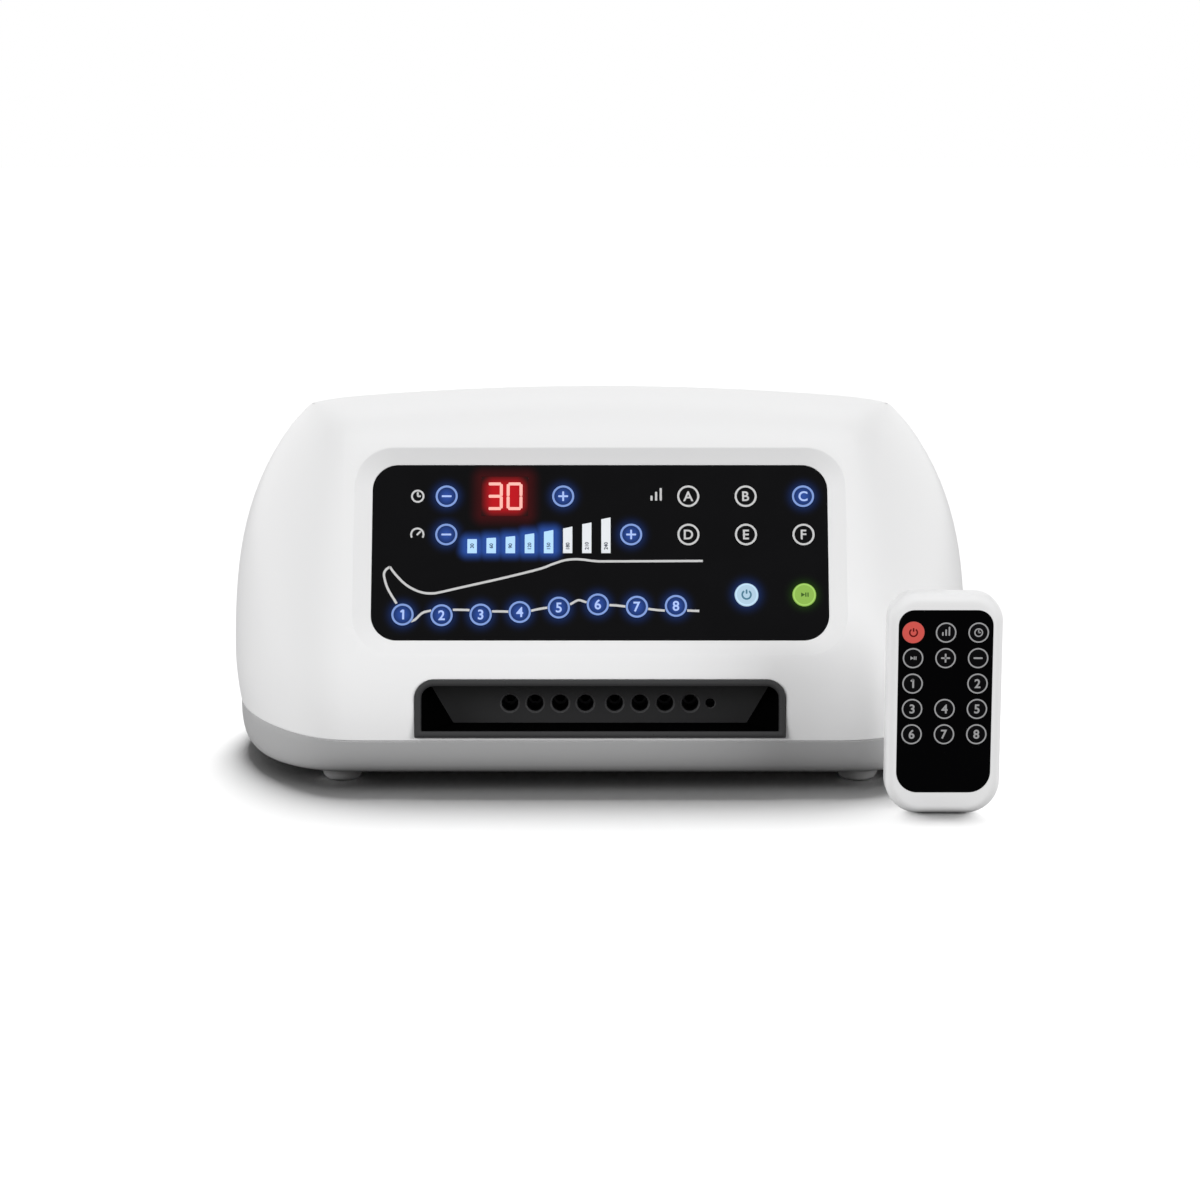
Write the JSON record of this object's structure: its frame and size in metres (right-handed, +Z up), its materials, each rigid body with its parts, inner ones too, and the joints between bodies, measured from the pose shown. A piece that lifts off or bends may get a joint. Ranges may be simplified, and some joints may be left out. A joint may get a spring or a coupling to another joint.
{
  "type": "compression therapy pump",
  "caption": "Table-top air compression pump with a leaning key panel, lit gauge and time window, a recessed bay of hose ports, and an upright remote control.",
  "frame": {"origin": "on the table, under the middle of the console", "axes": "+X along the width, to the right as the user faces it; +Y from front to back; +Z up"},
  "size_m": [0.36, 0.2532, 0.1775],
  "materials": {
    "shell_white": "smooth glossy moulded ABS",
    "base_grey": "satin moulded ABS",
    "foot_rubber": "pale translucent soft rubber",
    "screw_steel": "zinc-plated",
    "panel_black": "glossy overlay film",
    "display_red": "smoked lens over red digits",
    "bar_blue": "diffusing light bars",
    "board_green": "solder mask",
    "switch_grey": "moulded switch bodies",
    "bay_black": "fine satin texture",
    "manifold_black": "moulded nylon",
    "tube_silicone": "milky silicone tube",
    "valve_grey": "moulded acetal",
    "rotor_amber": "moulded acetal",
    "motor_steel": "drawn steel can",
    "compressor_metal": "die-cast",
    "mount_rubber": "soft black rubber",
    "transformer_iron": "varnished laminations and winding",
    "inlet_black": "moulded thermoset",
    "cell_steel": "bright nickel",
    "key_black": "glossy black cap",
    "key_blue": "back-lit pale blue cap",
    "key_green": "back-lit green cap",
    "key_red": "glossy red cap"
  },
  "bodies": {
    "console": {"upper_shell": "shell_white", "base_shell": "base_grey", "rubber_feet": "foot_rubber", "case_screws": "screw_steel", "control_panel": "panel_black", "time_display": "display_red", "pressure_bars": "bar_blue", "display_board": "board_green", "key_switches": "switch_grey", "hose_bay": "bay_black", "air_manifold": "manifold_black", "air_tubes": "tube_silicone", "valve_block": "valve_grey", "valve_motor": "motor_steel", "air_compressor": "compressor_metal", "compressor_mounts": "mount_rubber", "main_board": "board_green", "transformer": "transformer_iron", "power_inlet": "inlet_black"},
    "remote": {"remote_front": "shell_white", "remote_back": "shell_white", "remote_face": "panel_black", "remote_board": "board_green", "coin_cell": "cell_steel"},
    "time_minus_key": {"time_minus_key": "key_black"},
    "time_plus_key": {"time_plus_key": "key_black"},
    "pressure_minus_key": {"pressure_minus_key": "key_black"},
    "pressure_plus_key": {"pressure_plus_key": "key_black"},
    "mode_a_key": {"mode_a_key": "key_black"},
    "mode_b_key": {"mode_b_key": "key_black"},
    "mode_c_key": {"mode_c_key": "key_black"},
    "mode_d_key": {"mode_d_key": "key_black"},
    "mode_e_key": {"mode_e_key": "key_black"},
    "mode_f_key": {"mode_f_key": "key_black"},
    "power_key": {"power_key": "key_blue"},
    "start_key": {"start_key": "key_green"},
    "position_1_key": {"position_1_key": "key_black"},
    "position_2_key": {"position_2_key": "key_black"},
    "position_3_key": {"position_3_key": "key_black"},
    "position_4_key": {"position_4_key": "key_black"},
    "position_5_key": {"position_5_key": "key_black"},
    "position_6_key": {"position_6_key": "key_black"},
    "position_7_key": {"position_7_key": "key_black"},
    "position_8_key": {"position_8_key": "key_black"},
    "remote_power_key": {"remote_power_key": "key_red"},
    "remote_mode_key": {"remote_mode_key": "key_black"},
    "remote_time_key": {"remote_time_key": "key_black"},
    "remote_start_key": {"remote_start_key": "key_black"},
    "remote_more_key": {"remote_more_key": "key_black"},
    "remote_less_key": {"remote_less_key": "key_black"},
    "remote_1_key": {"remote_1_key": "key_black"},
    "remote_2_key": {"remote_2_key": "key_black"},
    "remote_3_key": {"remote_3_key": "key_black"},
    "remote_4_key": {"remote_4_key": "key_black"},
    "remote_5_key": {"remote_5_key": "key_black"},
    "remote_6_key": {"remote_6_key": "key_black"},
    "remote_7_key": {"remote_7_key": "key_black"},
    "remote_8_key": {"remote_8_key": "key_black"},
    "valve_rotor": {"valve_rotor": "rotor_amber"},
    "battery_cover": {"battery_cover": "shell_white"}
  },
  "joints": [
    {"name": "time_minus_press", "type": "slide", "parent": "console", "child": "time_minus_key", "axis": [0, 0.9336, -0.3584], "range_m": [0, 0.0006], "stiffness_N_per_m": 600},
    {"name": "time_plus_press", "type": "slide", "parent": "console", "child": "time_plus_key", "axis": [0, 0.9336, -0.3584], "range_m": [0, 0.0006], "stiffness_N_per_m": 600},
    {"name": "pressure_minus_press", "type": "slide", "parent": "console", "child": "pressure_minus_key", "axis": [0, 0.9336, -0.3584], "range_m": [0, 0.0006], "stiffness_N_per_m": 600},
    {"name": "pressure_plus_press", "type": "slide", "parent": "console", "child": "pressure_plus_key", "axis": [0, 0.9336, -0.3584], "range_m": [0, 0.0006], "stiffness_N_per_m": 600},
    {"name": "mode_a_press", "type": "slide", "parent": "console", "child": "mode_a_key", "axis": [0, 0.9336, -0.3584], "range_m": [0, 0.0006], "stiffness_N_per_m": 600},
    {"name": "mode_b_press", "type": "slide", "parent": "console", "child": "mode_b_key", "axis": [0, 0.9336, -0.3584], "range_m": [0, 0.0006], "stiffness_N_per_m": 600},
    {"name": "mode_c_press", "type": "slide", "parent": "console", "child": "mode_c_key", "axis": [0, 0.9336, -0.3584], "range_m": [0, 0.0006], "stiffness_N_per_m": 600},
    {"name": "mode_d_press", "type": "slide", "parent": "console", "child": "mode_d_key", "axis": [0, 0.9336, -0.3584], "range_m": [0, 0.0006], "stiffness_N_per_m": 600},
    {"name": "mode_e_press", "type": "slide", "parent": "console", "child": "mode_e_key", "axis": [0, 0.9336, -0.3584], "range_m": [0, 0.0006], "stiffness_N_per_m": 600},
    {"name": "mode_f_press", "type": "slide", "parent": "console", "child": "mode_f_key", "axis": [0, 0.9336, -0.3584], "range_m": [0, 0.0006], "stiffness_N_per_m": 600},
    {"name": "power_press", "type": "slide", "parent": "console", "child": "power_key", "axis": [0, 0.9336, -0.3584], "range_m": [0, 0.0006], "stiffness_N_per_m": 600},
    {"name": "start_press", "type": "slide", "parent": "console", "child": "start_key", "axis": [0, 0.9336, -0.3584], "range_m": [0, 0.0006], "stiffness_N_per_m": 600},
    {"name": "position_1_press", "type": "slide", "parent": "console", "child": "position_1_key", "axis": [0, 0.9336, -0.3584], "range_m": [0, 0.0006], "stiffness_N_per_m": 600},
    {"name": "position_2_press", "type": "slide", "parent": "console", "child": "position_2_key", "axis": [0, 0.9336, -0.3584], "range_m": [0, 0.0006], "stiffness_N_per_m": 600},
    {"name": "position_3_press", "type": "slide", "parent": "console", "child": "position_3_key", "axis": [0, 0.9336, -0.3584], "range_m": [0, 0.0006], "stiffness_N_per_m": 600},
    {"name": "position_4_press", "type": "slide", "parent": "console", "child": "position_4_key", "axis": [0, 0.9336, -0.3584], "range_m": [0, 0.0006], "stiffness_N_per_m": 600},
    {"name": "position_5_press", "type": "slide", "parent": "console", "child": "position_5_key", "axis": [0, 0.9336, -0.3584], "range_m": [0, 0.0006], "stiffness_N_per_m": 600},
    {"name": "position_6_press", "type": "slide", "parent": "console", "child": "position_6_key", "axis": [0, 0.9336, -0.3584], "range_m": [0, 0.0006], "stiffness_N_per_m": 600},
    {"name": "position_7_press", "type": "slide", "parent": "console", "child": "position_7_key", "axis": [0, 0.9336, -0.3584], "range_m": [0, 0.0006], "stiffness_N_per_m": 600},
    {"name": "position_8_press", "type": "slide", "parent": "console", "child": "position_8_key", "axis": [0, 0.9336, -0.3584], "range_m": [0, 0.0006], "stiffness_N_per_m": 600},
    {"name": "valve_turn", "type": "hinge", "parent": "console", "child": "valve_rotor", "pos_m": [0, -0.021, 0.046], "axis": [0, 0, 1], "continuous": true},
    {"name": "remote_lift", "type": "slide", "parent": "console", "child": "remote", "axis": [0, 0, 1], "range_m": [0, 0.15]},
    {"name": "remote_power_press", "type": "slide", "parent": "remote", "child": "remote_power_key", "axis": [0, 1, 0], "range_m": [0, 0.0005], "stiffness_N_per_m": 600},
    {"name": "remote_mode_press", "type": "slide", "parent": "remote", "child": "remote_mode_key", "axis": [0, 1, 0], "range_m": [0, 0.0005], "stiffness_N_per_m": 600},
    {"name": "remote_time_press", "type": "slide", "parent": "remote", "child": "remote_time_key", "axis": [0, 1, 0], "range_m": [0, 0.0005], "stiffness_N_per_m": 600},
    {"name": "remote_start_press", "type": "slide", "parent": "remote", "child": "remote_start_key", "axis": [0, 1, 0], "range_m": [0, 0.0005], "stiffness_N_per_m": 600},
    {"name": "remote_more_press", "type": "slide", "parent": "remote", "child": "remote_more_key", "axis": [0, 1, 0], "range_m": [0, 0.0005], "stiffness_N_per_m": 600},
    {"name": "remote_less_press", "type": "slide", "parent": "remote", "child": "remote_less_key", "axis": [0, 1, 0], "range_m": [0, 0.0005], "stiffness_N_per_m": 600},
    {"name": "remote_1_press", "type": "slide", "parent": "remote", "child": "remote_1_key", "axis": [0, 1, 0], "range_m": [0, 0.0005], "stiffness_N_per_m": 600},
    {"name": "remote_2_press", "type": "slide", "parent": "remote", "child": "remote_2_key", "axis": [0, 1, 0], "range_m": [0, 0.0005], "stiffness_N_per_m": 600},
    {"name": "remote_3_press", "type": "slide", "parent": "remote", "child": "remote_3_key", "axis": [0, 1, 0], "range_m": [0, 0.0005], "stiffness_N_per_m": 600},
    {"name": "remote_4_press", "type": "slide", "parent": "remote", "child": "remote_4_key", "axis": [0, 1, 0], "range_m": [0, 0.0005], "stiffness_N_per_m": 600},
    {"name": "remote_5_press", "type": "slide", "parent": "remote", "child": "remote_5_key", "axis": [0, 1, 0], "range_m": [0, 0.0005], "stiffness_N_per_m": 600},
    {"name": "remote_6_press", "type": "slide", "parent": "remote", "child": "remote_6_key", "axis": [0, 1, 0], "range_m": [0, 0.0005], "stiffness_N_per_m": 600},
    {"name": "remote_7_press", "type": "slide", "parent": "remote", "child": "remote_7_key", "axis": [0, 1, 0], "range_m": [0, 0.0005], "stiffness_N_per_m": 600},
    {"name": "remote_8_press", "type": "slide", "parent": "remote", "child": "remote_8_key", "axis": [0, 1, 0], "range_m": [0, 0.0005], "stiffness_N_per_m": 600},
    {"name": "battery_cover_swing", "type": "hinge", "parent": "remote", "child": "battery_cover", "pos_m": [0.153, -0.132, 0.015], "axis": [-1, 0, 0], "range_deg": [0, 70]}
  ]
}
